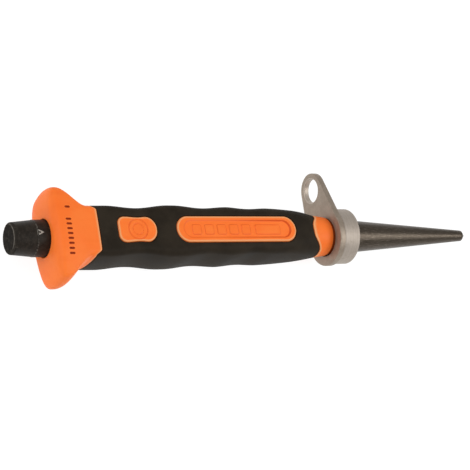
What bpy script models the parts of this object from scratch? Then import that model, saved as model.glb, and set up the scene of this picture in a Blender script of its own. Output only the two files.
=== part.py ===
"""Centre punch with a guarded two-component grip and a swivelling tether eye.

Units are metres. +X runs along the tool, from the struck face at the origin to the point.
+Z is the outward normal of the grip's badge face, and +Y completes the frame. Laid down, the
tool rests on the -Z side of its guard and of its eye plate.
"""

import math

import bmesh
import bpy
from mathutils import Vector

# Driving dimensions, in metres and degrees.
LENGTH = 0.1840
# Clearance between touching pieces, and the smaller one between the bar and what is on it.
GAP = 0.0003
BAR_CLEARANCE = 0.00025

BAR_RADIUS = 0.0060
STRUCK_FACE_RADIUS = 0.0046
STRUCK_EDGE_X = 0.0006
STRUCK_EDGE_RADIUS = 0.00505
HEAD_CONE_END_X = 0.0076
HEAD_CONE_END_RADIUS = 0.0059
HEAD_STEP_END_X = 0.0080
TAPER_START_X = 0.1286
POINT_RADIUS = 0.0020
POINT_TIP_RADIUS = 0.00015

# A section across the grip is a rounded rectangle with gently bowed sides. Its size is its half
# width, half height, corner radius, and how far its +-Y and +-Z sides turn from middle to corner.
GUARD_RIM = (0.0163, 0.0100, 0.0022, 19.0, 19.0)
GUARD_REAR_RADIUS = 0.0066
GUARD_REAR_X = 0.0118
GUARD_DOME_POWER = 2.2
GUARD_RIM_X = 0.0149
GUARD_FLARE_X = 0.0153
GUARD_NECK_X = 0.0250

OVERMOULD_REAR_X = 0.0276
OVERMOULD_FRONT_X = 0.1146
FRONT_NOTCH_DEPTH = 0.0035
FRONT_NOTCH_ANGLE = 65.0
FRONT_BLEND_X = 0.1080

# The grip without its finger grooves: place, half width, half height, corner radius.
SIDE_TURN = 8.0
BADGE_TURN = 2.5
GRIP_STATIONS = (
    (0.0250, 0.00910, 0.0090, 0.0022),
    (0.0550, 0.00946, 0.0090, 0.0026),
    (0.0760, 0.00905, 0.0090, 0.0029),
    (0.0940, 0.00865, 0.0090, 0.0032),
    (0.1035, 0.00828, 0.0088, 0.0042),
    (0.1090, 0.00806, 0.0082, 0.0056),
    (0.1140, 0.00760, 0.0076, 0.0074),
    (0.1175, 0.00710, 0.0071, 0.0071),
    (0.1200, 0.00690, 0.0069, 0.0069),
    (0.1240, 0.00690, 0.0069, 0.0069),
)

# Each finger groove runs from one ridge to the next: start, end, depth.
FINGER_GROOVES = (
    (0.0310, 0.0550, 0.00100),
    (0.0570, 0.0780, 0.00075),
    (0.0770, 0.0940, 0.00048),
)

TUBE_RADIUS = 0.0070
TUBE_STEP_X = 0.1000
TUBE_FRONT_RADIUS = 0.0068
CORE_FRONT_X = 0.1226
NOSE_ROUND_X = 0.1175
NOSE_MOUTH_X = 0.1190
NOSE_TUBE_X = 0.1200

PAD_TOP = 0.0090
# Each pad: rear end, front end, half width, rear corner radius, front corner radius.
LONG_PAD = (0.0561, 0.1031, 0.00455, 0.00455, 0.00455)
SHORT_PAD = (0.0346, 0.0487, 0.0044, 0.0025, 0.0042)

EYE_REAR_X = 0.1205
EYE_THICKNESS = 0.0021
EYE_PLATE_RADIUS = 0.0102
EYE_BORE_RADIUS = 0.0073
EYE_HOLE_RADIUS = 0.00425
EYE_END_RADIUS = 0.0063
EYE_REACH = 0.0186
EYE_REST_ANGLE = -8.7

COLLAR_RADIUS = 0.0098
COLLAR_FRONT_X = 0.1293
COLLAR_EDGE = 0.0003

AROUND = 48
SIDE_STEPS = 2
CORNER_STEPS = 8
ARC_STEPS = 8
RING_PITCH = 0.0026
SHARP_ANGLE = 30.0

# How far a cutter runs past what it cuts.
CUTTER_MARGIN = 0.0020

MATERIALS = {
    "black_steel": ((0.150, 0.138, 0.125), 0.42, 0.85),
    "orange_plastic": ((0.985, 0.480, 0.215), 0.42, 0.0),
    "black_rubber": ((0.190, 0.178, 0.165), 0.62, 0.0),
    "satin_steel": ((0.660, 0.620, 0.580), 0.38, 1.0),
    "blasted_steel": ((0.560, 0.515, 0.475), 0.50, 1.0),
}


def clear_scene():
    for obj in list(bpy.data.objects):
        bpy.data.objects.remove(obj, do_unlink=True)


def linear(channel):
    """One sRGB channel, 0 to 1, as linear light."""
    if channel <= 0.04045:
        return channel / 12.92
    return ((channel + 0.055) / 1.055) ** 2.4


def make_material(name):
    colour, roughness, metallic = MATERIALS[name]
    material = bpy.data.materials.new(name)
    material.use_nodes = True
    shader = material.node_tree.nodes["Principled BSDF"]
    shader.inputs["Base Color"].default_value = [linear(channel) for channel in colour] + [1.0]
    shader.inputs["Roughness"].default_value = roughness
    shader.inputs["Metallic"].default_value = metallic
    return material


def skin(name, rings, material=None, joined=False):
    """One closed mesh through rings of equal length, its ends capped, or joined to each other."""
    shape = bmesh.new()
    loops = [[shape.verts.new(point) for point in points] for points in rings]
    pairs = list(zip(loops, loops[1:]))
    if joined:
        pairs.append((loops[-1], loops[0]))
    for first, second in pairs:
        for here in range(len(first)):
            ahead = (here + 1) % len(first)
            shape.faces.new((first[here], first[ahead], second[ahead], second[here]))
    if not joined:
        shape.faces.new(loops[0])
        shape.faces.new(loops[-1])
    bmesh.ops.recalc_face_normals(shape, faces=shape.faces)
    mesh = bpy.data.meshes.new(name)
    shape.to_mesh(mesh)
    shape.free()
    mesh.shade_smooth()
    mesh.set_sharp_from_angle(angle=math.radians(SHARP_ANGLE))
    obj = bpy.data.objects.new(name, mesh)
    bpy.context.scene.collection.objects.link(obj)
    if material:
        mesh.materials.append(material)
    return obj


def boolean(target, tool, operation):
    """Adds tool to target, or cuts it away, and leaves tool as a wire helper."""
    tool.hide_render = True
    tool.display_type = "WIRE"
    modifier = target.modifiers.new(tool.name, "BOOLEAN")
    modifier.operation = operation
    modifier.solver = "EXACT"
    modifier.object = tool


def mix(first, second, share):
    return tuple(a + (b - a) * share for a, b in zip(first, second))


def disc(x, radius):
    """A plain round ring across the tool, for turned pieces."""
    turns = [(step + 0.5) * 2 * math.pi / AROUND for step in range(AROUND)]
    return [Vector((x, radius * math.cos(turn), radius * math.sin(turn))) for turn in turns]


def turned(name, profile, material=None, joined=False):
    """A body of revolution about the tool axis through (x, radius) points."""
    return skin(name, [disc(x, radius) for x, radius in profile], material, joined)


def spread(start, end, count):
    """Values in the middles of count equal steps from start to end."""
    return [start + (end - start) * (step + 0.5) / count for step in range(count)]


def quarter(size):
    """One quarter of a section, from its +Y side to its +Z side, as (direction, y, z) points."""
    half_y, half_z, corner, turn_y, turn_z = size
    turn_y = math.radians(turn_y)
    turn_z = math.radians(turn_z)
    room_y = half_y - corner
    room_z = half_z - corner
    # The bows of the two sides have to meet the corner's arc at one common centre.
    down_y = 1 - math.cos(turn_y)
    down_z = 1 - math.cos(turn_z)
    scale = math.sin(turn_y) * math.sin(turn_z) - down_y * down_z
    bow_y = (math.sin(turn_z) * room_z - down_z * room_y) / scale
    bow_z = (math.sin(turn_y) * room_y - down_y * room_z) / scale
    middle = (bow_z * math.sin(turn_z), bow_y * math.sin(turn_y))
    arcs = (
        (spread(0, turn_y, SIDE_STEPS), (room_y - bow_y, 0), bow_y + corner),
        (spread(turn_y, math.pi / 2 - turn_z, CORNER_STEPS), middle, corner),
        (spread(math.pi / 2 - turn_z, math.pi / 2, SIDE_STEPS), (0, room_z - bow_z), bow_z + corner),
    )
    points = []
    for directions, centre, radius in arcs:
        for way in directions:
            points.append((way, centre[0] + radius * math.cos(way), centre[1] + radius * math.sin(way)))
    return points


def section_points(size):
    """A whole section, anticlockwise seen from +X. The direction is each point's angle from +-Y."""
    first = quarter(size)
    second = [(way, -y, z) for way, y, z in reversed(first)]
    third = [(way, -y, -z) for way, y, z in first]
    fourth = [(way, y, -z) for way, y, z in reversed(first)]
    return first + second + third + fourth


def section(x, size):
    return [Vector((x, y, z)) for _, y, z in section_points(size)]


def round_size(radius):
    """A round section, with its points where the grip has them."""
    return radius, radius, radius, SIDE_TURN, BADGE_TURN


def between(stations, x):
    """The columns of stations at x, along a smooth curve through them."""
    places = [station[0] for station in stations]
    index = max(0, min(len(places) - 2, sum(place <= x for place in places) - 1))
    span = places[index + 1] - places[index]
    share = min(1.0, max(0.0, (x - places[index]) / span))
    before = stations[max(index - 1, 0)]
    after = stations[min(index + 2, len(stations) - 1)]
    here = stations[index]
    ahead = stations[index + 1]
    columns = []
    for column in range(1, len(here)):
        slope_here = (ahead[column] - before[column]) / (ahead[0] - before[0]) * span
        slope_ahead = (after[column] - here[column]) / (after[0] - here[0]) * span
        columns.append(
            (2 * share**3 - 3 * share**2 + 1) * here[column]
            + (share**3 - 2 * share**2 + share) * slope_here
            + (3 * share**2 - 2 * share**3) * ahead[column]
            + (share**3 - share**2) * slope_ahead
        )
    return tuple(columns)


def grip_size(x):
    """The grip's section size at x, with its finger grooves."""
    half_y, half_z, corner = between(GRIP_STATIONS, x)
    for start, end, depth in FINGER_GROOVES:
        if start < x < end:
            half_y -= depth * math.sin(math.pi * (x - start) / (end - start)) ** 2
    return half_y, half_z, corner, SIDE_TURN, BADGE_TURN


def front_edge(way):
    """Where the overmould ends: notched on the badge faces, so that the core shows there."""
    off_badge = 90 - math.degrees(way)
    if off_badge > FRONT_NOTCH_ANGLE:
        return OVERMOULD_FRONT_X
    fall = math.cos(math.radians(90 * off_badge / FRONT_NOTCH_ANGLE)) ** 2
    return OVERMOULD_FRONT_X - FRONT_NOTCH_DEPTH * fall


def waved_ring(place, size_at):
    """A ring whose points lie at x = place(direction), each on the section that size_at(x) gives."""
    ways = [way for way, _, _ in section_points(round_size(BAR_RADIUS))]
    ring = []
    for index, way in enumerate(ways):
        x = place(way)
        _, y, z = section_points(size_at(x))[index]
        ring.append(Vector((x, y, z)))
    return ring


def make_bar(material):
    point_base_x = LENGTH - POINT_RADIUS
    profile = (
        (0.0, STRUCK_FACE_RADIUS),
        (STRUCK_EDGE_X, STRUCK_EDGE_RADIUS),
        (HEAD_CONE_END_X, HEAD_CONE_END_RADIUS),
        (HEAD_STEP_END_X, BAR_RADIUS),
        (TAPER_START_X, BAR_RADIUS),
        (point_base_x, POINT_RADIUS),
        (LENGTH, POINT_TIP_RADIUS),
    )
    return turned("punch_bar", profile, material)


def guard_rings():
    """The guard, from its domed rear face over the rim and down the flare to the grip."""
    middle = (GUARD_REAR_RADIUS, GUARD_REAR_RADIUS, GUARD_REAR_RADIUS, GUARD_RIM[3], GUARD_RIM[4])
    rings = []
    for step in range(ARC_STEPS + 1):
        out = math.sin(math.radians(90) * step / ARC_STEPS)
        rise = (1 - out**GUARD_DOME_POWER) ** (1 / GUARD_DOME_POWER)
        x = GUARD_RIM_X - (GUARD_RIM_X - GUARD_REAR_X) * rise
        rings.append(section(x, mix(middle, GUARD_RIM, out)))
    neck = grip_size(GUARD_NECK_X)
    for step in range(ARC_STEPS + 1):
        share = step / ARC_STEPS
        flare = 0.5 * (1 + math.cos(math.pi * share))
        x = GUARD_FLARE_X + (GUARD_NECK_X - GUARD_FLARE_X) * share
        rings.append(section(x, mix(neck, GUARD_RIM, flare)))
    rings.append(section(OVERMOULD_REAR_X, grip_size(OVERMOULD_REAR_X)))
    return rings


def core_step(way):
    """Where the core steps up to its nose, just ahead of the overmould."""
    return front_edge(way) + GAP


def nose_rings():
    """The core ahead of the overmould, flush with it at first, then the round nose for the eye."""
    rings = [
        waved_ring(core_step, grip_size),
        waved_ring(lambda way: (core_step(way) + NOSE_ROUND_X) / 2, grip_size),
    ]
    for x in (NOSE_ROUND_X, NOSE_MOUTH_X, NOSE_TUBE_X, CORE_FRONT_X):
        rings.append(section(x, grip_size(x)))
    return rings


def pad_outline(rear, front, half_width, rear_corner, front_corner, grow=0.0):
    """The pad's outline seen from +Z, as (x, y) points, grown by grow on all sides."""
    corners = (
        (rear + rear_corner, half_width - rear_corner, rear_corner, 90),
        (rear + rear_corner, rear_corner - half_width, rear_corner, 180),
        (front - front_corner, front_corner - half_width, front_corner, 270),
        (front - front_corner, half_width - front_corner, front_corner, 0),
    )
    points = []
    for x, y, radius, start in corners:
        for step in range(ARC_STEPS):
            turn = math.radians(start + 90 * (step + 0.5) / ARC_STEPS)
            reach = radius + grow
            points.append((x + reach * math.cos(turn), y + reach * math.sin(turn)))
    return points


def pad_slab(name, pad, half_height, grow=0.0):
    """A slab of a pad's outline, right through the grip, so that it serves both faces."""
    outline = pad_outline(*pad, grow=grow)
    return skin(name, [[Vector((x, y, z)) for x, y in outline] for z in (-half_height, half_height)])


def make_core(material):
    tube = [
        section(OVERMOULD_REAR_X, round_size(TUBE_RADIUS)),
        section(TUBE_STEP_X, round_size(TUBE_RADIUS)),
        section(FRONT_BLEND_X, round_size(TUBE_FRONT_RADIUS)),
        waved_ring(core_step, lambda x: round_size(TUBE_FRONT_RADIUS)),
    ]
    core = skin("grip_core", guard_rings() + tube + nose_rings(), material)
    boolean(core, pad_slab("long_pad", LONG_PAD, PAD_TOP), "UNION")
    boolean(core, pad_slab("short_pad", SHORT_PAD, PAD_TOP), "UNION")
    radius = BAR_RADIUS + BAR_CLEARANCE
    bore = turned("core_bore", ((0.0, radius), (LENGTH, radius)))
    boolean(core, bore, "DIFFERENCE")
    return core


def toward_front(share):
    """A place function for waved_ring, this share of the way from the blend to the front edge."""
    return lambda way: FRONT_BLEND_X + (front_edge(way) - FRONT_BLEND_X) * share


def make_overmould(material):
    """The soft skin round the core, with windows for the pads."""
    rear = OVERMOULD_REAR_X + GAP
    count = round((FRONT_BLEND_X - rear) / RING_PITCH)
    outside = []
    for step in range(count + 1):
        x = rear + (FRONT_BLEND_X - rear) * step / count
        outside.append(section(x, grip_size(x)))
    for quarters in (2, 3, 4):
        outside.append(waved_ring(toward_front(quarters / 4), grip_size))
    inside = [
        waved_ring(front_edge, lambda x: round_size(TUBE_FRONT_RADIUS + GAP)),
        section(FRONT_BLEND_X, round_size(TUBE_FRONT_RADIUS + GAP)),
        section(TUBE_STEP_X, round_size(TUBE_RADIUS + GAP)),
        section(rear, round_size(TUBE_RADIUS + GAP)),
    ]
    overmould = skin("grip_overmould", outside + inside, material, joined=True)
    window_height = PAD_TOP + CUTTER_MARGIN
    boolean(overmould, pad_slab("long_window", LONG_PAD, window_height, GAP), "DIFFERENCE")
    boolean(overmould, pad_slab("short_window", SHORT_PAD, window_height, GAP), "DIFFERENCE")
    return overmould


def make_collar(material):
    """The steel ring pressed on the bar, which keeps the eye on the nose."""
    rear = EYE_REAR_X + EYE_THICKNESS + GAP
    bore = BAR_RADIUS + BAR_CLEARANCE
    profile = (
        (rear, bore),
        (rear, COLLAR_RADIUS - COLLAR_EDGE),
        (rear + COLLAR_EDGE, COLLAR_RADIUS),
        (COLLAR_FRONT_X - COLLAR_EDGE, COLLAR_RADIUS),
        (COLLAR_FRONT_X, COLLAR_RADIUS - COLLAR_EDGE),
        (COLLAR_FRONT_X, bore),
    )
    return turned("retaining_collar", profile, material, joined=True)


def eye_outline():
    """The plate's outline: a disc round the nose, and tangents to a smaller end round the eye."""
    tangent = math.acos((EYE_PLATE_RADIUS - EYE_END_RADIUS) / EYE_REACH)
    plate_arc = 2 * (math.pi - tangent)
    points = []
    steps = 5 * ARC_STEPS
    for step in range(steps + 1):
        turn = tangent + plate_arc * step / steps
        points.append((EYE_PLATE_RADIUS * math.cos(turn), EYE_PLATE_RADIUS * math.sin(turn)))
    steps = 3 * ARC_STEPS
    for step in range(steps + 1):
        turn = -tangent + 2 * tangent * step / steps
        points.append((EYE_REACH + EYE_END_RADIUS * math.cos(turn), EYE_END_RADIUS * math.sin(turn)))
    return points


def make_eye(material):
    """The swivelling plate. Its own origin is on the turning axis, and the eye is along its own +Y."""
    outline = eye_outline()
    rings = [[Vector((x, y, z)) for y, z in outline] for x in (0.0, EYE_THICKNESS)]
    eye = skin("swivel_eye", rings, material)
    eye.location = (EYE_REAR_X, 0.0, 0.0)
    eye.rotation_euler = (math.radians(EYE_REST_ANGLE), 0.0, 0.0)
    ends = (-CUTTER_MARGIN, EYE_THICKNESS + CUTTER_MARGIN)
    bore = turned("eye_bore", [(x, EYE_BORE_RADIUS) for x in ends])
    hole = turned("eye_hole", [(x, EYE_HOLE_RADIUS) for x in ends])
    hole.location = (0.0, EYE_REACH, 0.0)
    for cutter in (bore, hole):
        cutter.parent = eye
        boolean(eye, cutter, "DIFFERENCE")
    return eye


def main():
    clear_scene()
    tool_axis = bpy.data.objects.new("tool_axis", None)
    bpy.context.scene.collection.objects.link(tool_axis)
    pieces = (
        make_bar(make_material("black_steel")),
        make_core(make_material("orange_plastic")),
        make_overmould(make_material("black_rubber")),
        make_collar(make_material("satin_steel")),
        make_eye(make_material("blasted_steel")),
    )
    for piece in pieces:
        piece.parent = tool_axis


main()
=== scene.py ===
"""Centre punch with a guarded two-component grip and a swivelling lanyard eye: the visual model.

Lengths are in metres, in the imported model's own frame: +X from the struck face to the point, and +Z
out of the badge face.
"""

import math

import bpy
import numpy as np
from mathutils import Euler, Matrix, Vector
from mathutils.bvhtree import BVHTree


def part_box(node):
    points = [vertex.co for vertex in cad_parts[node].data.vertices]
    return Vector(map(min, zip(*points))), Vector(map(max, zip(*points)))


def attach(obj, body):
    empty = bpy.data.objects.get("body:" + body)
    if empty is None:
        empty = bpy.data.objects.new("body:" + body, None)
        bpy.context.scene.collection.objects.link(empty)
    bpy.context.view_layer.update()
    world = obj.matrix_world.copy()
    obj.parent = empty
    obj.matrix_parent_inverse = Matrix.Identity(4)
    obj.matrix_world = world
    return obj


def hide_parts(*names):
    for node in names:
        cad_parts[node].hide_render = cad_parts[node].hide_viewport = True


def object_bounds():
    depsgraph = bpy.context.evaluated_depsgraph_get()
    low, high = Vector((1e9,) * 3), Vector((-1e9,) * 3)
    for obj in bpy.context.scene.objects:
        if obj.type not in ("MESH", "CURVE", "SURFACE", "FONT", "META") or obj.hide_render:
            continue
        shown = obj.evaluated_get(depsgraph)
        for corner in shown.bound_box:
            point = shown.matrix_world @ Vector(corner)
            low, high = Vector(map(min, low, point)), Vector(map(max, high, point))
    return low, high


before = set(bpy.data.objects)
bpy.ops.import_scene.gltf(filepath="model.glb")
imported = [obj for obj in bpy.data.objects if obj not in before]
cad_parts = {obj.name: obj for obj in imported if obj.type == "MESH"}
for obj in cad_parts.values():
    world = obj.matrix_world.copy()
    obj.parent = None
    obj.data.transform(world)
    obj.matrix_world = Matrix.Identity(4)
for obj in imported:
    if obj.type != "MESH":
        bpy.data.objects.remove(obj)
cad_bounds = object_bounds()

MM = 0.001

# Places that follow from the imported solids.
_, bar_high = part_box("punch_bar")
core_low, core_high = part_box("grip_core")
skin_low, skin_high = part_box("grip_overmould")
collar_low, collar_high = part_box("retaining_collar")
eye_low, eye_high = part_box("swivel_eye")

# The bar: its head is a cone with a small step at its base, and its struck end is rounded.
LENGTH = bar_high.x
BAR_RADIUS = 6.0 * MM
HEAD_FLAT_RADIUS = 4.4 * MM
HEAD_ROUND_DEPTH, HEAD_ROUND_WIDTH = 0.62 * MM, 0.8 * MM
HEAD_ROUND_TURN = math.radians(78)
HEAD_EDGE_X, HEAD_EDGE_RADIUS = 0.6 * MM, 5.2 * MM
HEAD_CONE_END_X, HEAD_CONE_END_RADIUS = 7.5 * MM, 5.89 * MM
HEAD_STEP = ((7.60 * MM, 5.93 * MM), (7.72 * MM, 5.985 * MM), (7.9 * MM, BAR_RADIUS))
SHANK_START_X, SHANK_END_X = 8.4 * MM, 128.0 * MM
TAPER_START_X = 128.6 * MM
POINT_RADIUS = 2.0 * MM
POINT_HEIGHT = 2.0 * MM
POINT_TIP_RADIUS = 0.04 * MM

# The guard: half width, half height and corner radius at its rim, and the bows of its sides.
GUARD_RIM = (16.23 * MM, 10.0 * MM, 2.2 * MM, 19.0, 19.0)
GUARD_REAR_RADIUS = 6.6 * MM
GUARD_REAR_X = core_low.x
GUARD_DOME_POWER = 2.2
GUARD_RIM_X = 14.9 * MM
GUARD_FLARE_X = 15.3 * MM
GUARD_NECK_X = 25.0 * MM
GUARD_STEPS, FLARE_STEPS = 36, 44

# The skin: its rear seam steps back on the two edges, and its front edge is notched there. The
# angles are in degrees from the middle of the badge faces.
SKIN_REAR_X = skin_low.x
SKIN_FRONT_X = skin_high.x
SKIN_EVEN_X = SKIN_REAR_X + 1.6 * MM
REAR_STEP_BACK, REAR_STEP_FROM, REAR_STEP_TO = 1.65 * MM, 6.0, 62.0
FRONT_NOTCH_DEPTH, FRONT_NOTCH_TO = 3.5 * MM, 65.0
FRONT_BLEND_X = 108.0 * MM
# The gap at its edges, and how they are rounded.
SEAM = 0.15 * MM
SEAM_ROUND = 0.3 * MM
FRONT_ROUND = 0.45 * MM

# How far the grip's bowed edges and badge faces turn, in degrees, from their middle to a corner.
SIDE_TURN = 8.0
BADGE_TURN = 2.5
# The grip without its finger grooves: place, half width, half height, corner radius.
GRIP_STATIONS = np.array((
    (25.0, 9.10, 9.00, 2.2),
    (55.0, 9.46, 9.00, 2.6),
    (76.0, 9.05, 9.00, 2.9),
    (94.0, 8.65, 9.00, 3.2),
    (103.5, 8.28, 8.80, 4.2),
    (109.0, 8.06, 8.20, 5.6),
    (114.0, 7.60, 7.60, 7.4),
    (117.5, 7.10, 7.10, 7.1),
    (120.0, 6.90, 6.90, 6.9),
    (124.0, 6.90, 6.90, 6.9),
)) * MM
# The finger grooves in its edges, in millimetres: start, end, depth.
FINGER_GROOVES = ((31.0, 55.0, 1.00), (57.0, 78.0, 0.75), (77.0, 94.0, 0.48))

# The core under the skin, and the skin's clearance on it.
TUBE_RADIUS = 7.0 * MM
TUBE_FRONT_RADIUS = 6.8 * MM
TUBE_FRONT_X = 100.0 * MM
SKIN_FIT = 0.1 * MM
CORE_BORE_RADIUS = 6.2 * MM
CORE_FRONT_X = core_high.x

# The core's edge in front of the skin, in millimetres: inset, place ahead of the gap, painted
# highlight.
NOSE_EDGE = ((0.25, 0.0, 0.0), (0.10, 0.06, 0.5), (0.02, 0.2, 0.9), (0.0, 0.35, 0.9))
NOSE_PLACES = (117.5, 118.0, 118.5, 118.9)

# The nose ends in a rounded shoulder just behind the plate, which turns on its narrower spigot, in
# millimetres: place, radius, and painted shade, darkest as the shadow in the gap before the plate.
NOSE_END = (
    (119.30, 6.90, 0.0),
    (119.55, 6.87, -0.2),
    (119.72, 6.80, -0.6),
    (119.85, 6.70, -1.0),
    (119.93, 6.58, -1.3),
    (119.97, 6.46, -1.8),
    (119.98, 6.40, -2.0),
    (120.30, 6.40, -2.0),
    (121.20, 6.40, -2.0),
    (122.00, 6.40, -2.0),
    (122.45, 6.40, -2.0),
    (122.60, 6.28, -2.0),
)

# Badges: rear end, front end, half width, rear and front corner radius.
LONG_BADGE = tuple(value * MM for value in (56.1, 103.1, 4.55, 4.55, 4.55))
SHORT_BADGE = tuple(value * MM for value in (34.6, 48.7, 4.40, 2.50, 4.20))
SHORT_WAIST = 0.3 * MM
BADGE_FLOOR_RADIUS = TUBE_RADIUS - 0.05 * MM
BADGE_SIDE_DEPTH = 1.1 * MM
BADGE_ROUND = 0.5 * MM
# The layers of a badge's top, and the share of the way to its middle line that they reach.
BADGE_LAYERS, BADGE_REACH = 34, 0.97
# The painted highlight on its rim, over how many layers that fades, and the slope with the
# darkest painted shade.
RIM_HIGHLIGHT, RIM_HIGHLIGHT_LAYERS, DARKEST_SLOPE = 0.8, 3, 1.2
# The windows in the skin: their floor, their rounded lip, and how proud of the skin it starts.
WINDOW_FLOOR_Z = 3.8 * MM
WINDOW_LIP = 0.5 * MM
WINDOW_PROUD = 0.012 * MM

# The long badge's sunk panel: rear end, front end, half width.
PANEL = (58.9 * MM, 100.6 * MM, 2.9 * MM)
# In millimetres: its depths, the places they belong to, and the raised blocks in it, from and to.
PANEL_DEPTHS, PANEL_PLACES = (0.26, 0.60), (70.0, 101.0)
PANEL_BLOCKS = ((61.9, 65.3), (66.7, 70.1), (71.5, 74.9), (76.3, 79.7), (81.1, 84.5), (86.6, 96.6))
BLOCK_Y, BLOCK_HALF, BLOCK_CORNER = -0.2 * MM, 1.2 * MM, 0.5 * MM
BLOCK_HEIGHT, BLOCK_SLOPE = 0.22 * MM, 0.14 * MM
# The short badge's engraved rings: place, then the radius, half width and depth of each.
RINGS_X = 41.7 * MM
RINGS = ((3.4 * MM, 0.26 * MM, 0.16 * MM), (1.9 * MM, 0.24 * MM, 0.12 * MM))
RING_FLOOR = 0.04 * MM

# The plate. It is loose, so it hangs a little off the tool's axis, away from its tab.
EYE_REACH = 18.6 * MM
EYE_HANG = 0.28 * MM
EYE_PLATE_RADIUS = 10.19 * MM
EYE_END_RADIUS = 6.3 * MM
EYE_BORE_RADIUS = 6.75 * MM
EYE_HOLE_RADIUS = 4.25 * MM
EYE_REST_ANGLE = math.radians(-8.7)
# Rounded edges, at the rear and at the front.
EYE_RIM_ROUND = (0.28 * MM, 0.12 * MM)
EYE_BORE_ROUND = (0.15 * MM, 0.15 * MM)
EYE_HOLE_ROUND = (0.55 * MM, 0.30 * MM)

COLLAR_RADIUS = 9.8 * MM
COLLAR_BORE_RADIUS = BAR_RADIUS + 0.06 * MM
COLLAR_BORE_CHAMFER = (0.15 * MM, 0.2 * MM)
COLLAR_ROUND = (0.12 * MM, 0.45 * MM)

# Marks: place on the surface, length along the tool, width.
PRINT_MARK = ((17.4 * MM, 7.5 * MM), 1.9 * MM, 0.75 * MM)
ETCHED_MARK = ((8.7 * MM, 0.1 * MM), 2.3 * MM, 2.2 * MM)
# The row of printed strokes: its places in millimetres, their number, and one stroke's size.
TICK_X, FIRST_TICK_Y, TICK_PITCH = 16.95, 3.2, 1.6
TICKS = 8
TICK_SIZE = (2.0 * MM, 0.70 * MM)
TICK_ROUNDING = 0.8
# The etched triangle's corners, for a length and width of 1, and the middle and size of its inside.
TRIANGLE = ((-0.5, -0.5), (0.5, 0.0), (-0.5, 0.5))
TRIANGLE_MIDDLE, TRIANGLE_INSIDE = -0.14, 0.42
MARK_THICKNESS = 0.012 * MM
ABOVE_ALL = 30.0 * MM

# How finely the shapes are stepped.
SHARP_ANGLE = math.radians(32)
ROUND_STEPS = 160
SIDE_STEPS = 10
CORNER_STEPS = 14
ARC_STEPS = 20
OUTLINE_PITCH = 0.25 * MM
SMALLEST_RADIUS = 0.02 * MM
SMALLEST_STRIP = 0.002 * MM


# ---------------------------------------------------------------------------------------------
# Mesh helpers


def smoothstep(low, high, value):
    share = np.clip((value - low) / (high - low), 0.0, 1.0)
    return share * share * (3 - 2 * share)


def mix(start, end, share):
    return start + (end - start) * share


def fillet(radius, steps, first=0):
    """Steps round a rounded edge: how far in from its side, and how far back from its end."""
    pairs = []
    for step in range(first, steps + 1):
        turn = math.radians(90) * step / steps
        pairs.append((radius * (1 - math.cos(turn)), radius * (1 - math.sin(turn))))
    return pairs


def make_object(name, points, faces):
    mesh = bpy.data.meshes.new(name)
    mesh.from_pydata([tuple(point) for point in points], [], faces)
    mesh.update()
    mesh.shade_smooth()
    mesh.set_sharp_from_angle(angle=SHARP_ANGLE)
    obj = bpy.data.objects.new(name, mesh)
    bpy.context.scene.collection.objects.link(obj)
    return obj


def split_cap(ring):
    """Faces that close a ring which is its own mirror image in Y, in strips across its middle."""
    count = len(ring)
    apart = abs(ring[:, None, 0] - ring[None, :, 0]) + abs(ring[:, None, 1] + ring[None, :, 1])
    mirror = apart.argmin(axis=1)
    start = next(index for index in range(count) if mirror[index] == (index - 1) % count)
    last = count // 2 - 1
    places = np.roll(ring[:, 0], -start)
    # A strip ends only where the ring has moved on in X, so a straight end is part of one strip.
    stops = [0]
    for step in range(1, last + 1):
        if abs(places[step] - places[stops[-1]]) > SMALLEST_STRIP:
            stops.append(step)
    stops[-1] = last
    faces = []
    for near, far in zip(stops, stops[1:]):
        side = [start + step for step in range(near, far + 1)]
        middle = [start + last + 1] if count % 2 and far == last else []
        other = [start - 1 - step for step in range(far, near - 1, -1)]
        faces.append(tuple(index % count for index in side + middle + other))
    return faces


def loft(name, rings, closed_along=False, last_cap=None):
    """A closed mesh through equal rings, which run anticlockwise seen from the last ring's side.

    Its ends are one face each, unless closed_along joins them, or last_cap lists the last one's.
    """
    count = len(rings[0])
    points = np.concatenate(rings)
    faces = []
    last = len(rings) if closed_along else len(rings) - 1
    for index in range(last):
        here = index * count
        ahead = ((index + 1) % len(rings)) * count
        for step in range(count):
            after = (step + 1) % count
            faces.append((here + step, here + after, ahead + after, ahead + step))
    if not closed_along:
        faces.append(tuple(reversed(range(count))))
        end = (len(rings) - 1) * count
        for cap in last_cap or [range(count)]:
            faces.append(tuple(end + index for index in cap))
    return make_object(name, points, faces)


def shade(obj, values):
    """Paints light: a painted highlight up to 1, painted shade to -1, a gap's painted shadow to -2.
    """
    attribute = obj.data.attributes.new("shade", "FLOAT", "POINT")
    attribute.data.foreach_set("value", np.asarray(values, dtype=np.float32))


def disc(x, radius, count):
    turn = np.arange(count) * 2 * math.pi / count
    return np.stack([np.full(count, x), radius * np.cos(turn), radius * np.sin(turn)], 1)


def turned(name, profile, count=ROUND_STEPS, closed_along=False):
    return loft(name, [disc(x, radius, count) for x, radius in profile], closed_along)


def cut(target, cutters):
    """Cuts closed meshes out of target, and applies it."""
    for cutter in cutters:
        modifier = target.modifiers.new("cut", "BOOLEAN")
        modifier.operation = "DIFFERENCE"
        modifier.solver = "EXACT"
        modifier.object = cutter
    evaluated = target.evaluated_get(bpy.context.evaluated_depsgraph_get())
    mesh = bpy.data.meshes.new_from_object(evaluated)
    old = target.data
    target.modifiers.clear()
    target.data = mesh
    bpy.data.meshes.remove(old)
    for cutter in cutters:
        bpy.data.objects.remove(cutter, do_unlink=True)
    mesh.shade_smooth()
    mesh.set_sharp_from_angle(angle=SHARP_ANGLE)


# ---------------------------------------------------------------------------------------------
# The grip's sections


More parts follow.
